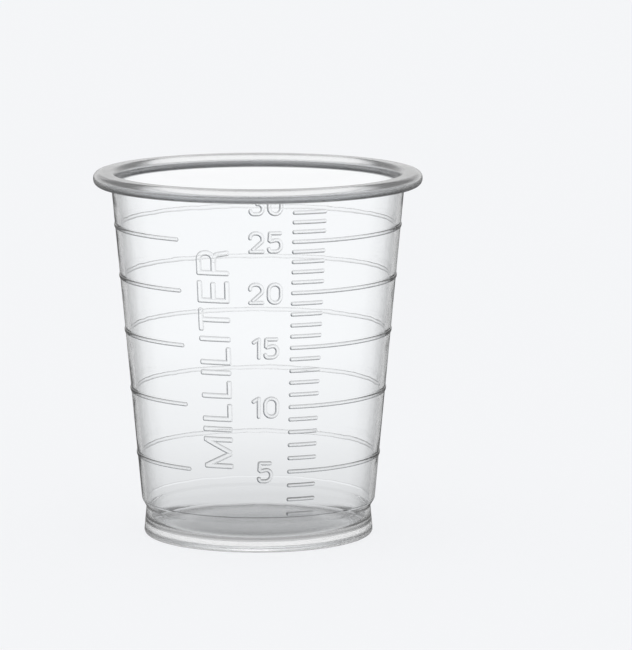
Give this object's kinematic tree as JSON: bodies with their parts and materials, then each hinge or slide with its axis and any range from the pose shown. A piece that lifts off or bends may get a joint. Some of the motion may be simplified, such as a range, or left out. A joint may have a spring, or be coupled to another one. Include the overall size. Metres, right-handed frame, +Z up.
{
  "type": "medicine cup",
  "caption": "Clear tapered dosing cup with a rolled rim, a stacking foot and raised millilitre graduations.",
  "frame": {"origin": "centre of the circle the foot stands on, in its standing plane", "axes": "+Z up along the cup's axis; the graduations start beside the front, which faces -Y"},
  "size_m": [0.0392, 0.0392, 0.0437],
  "materials": {
    "clear_polypropylene": "clear thermoformed polypropylene, glossy"
  },
  "bodies": {
    "root": {"cup": "clear_polypropylene"}
  },
  "joints": []
}
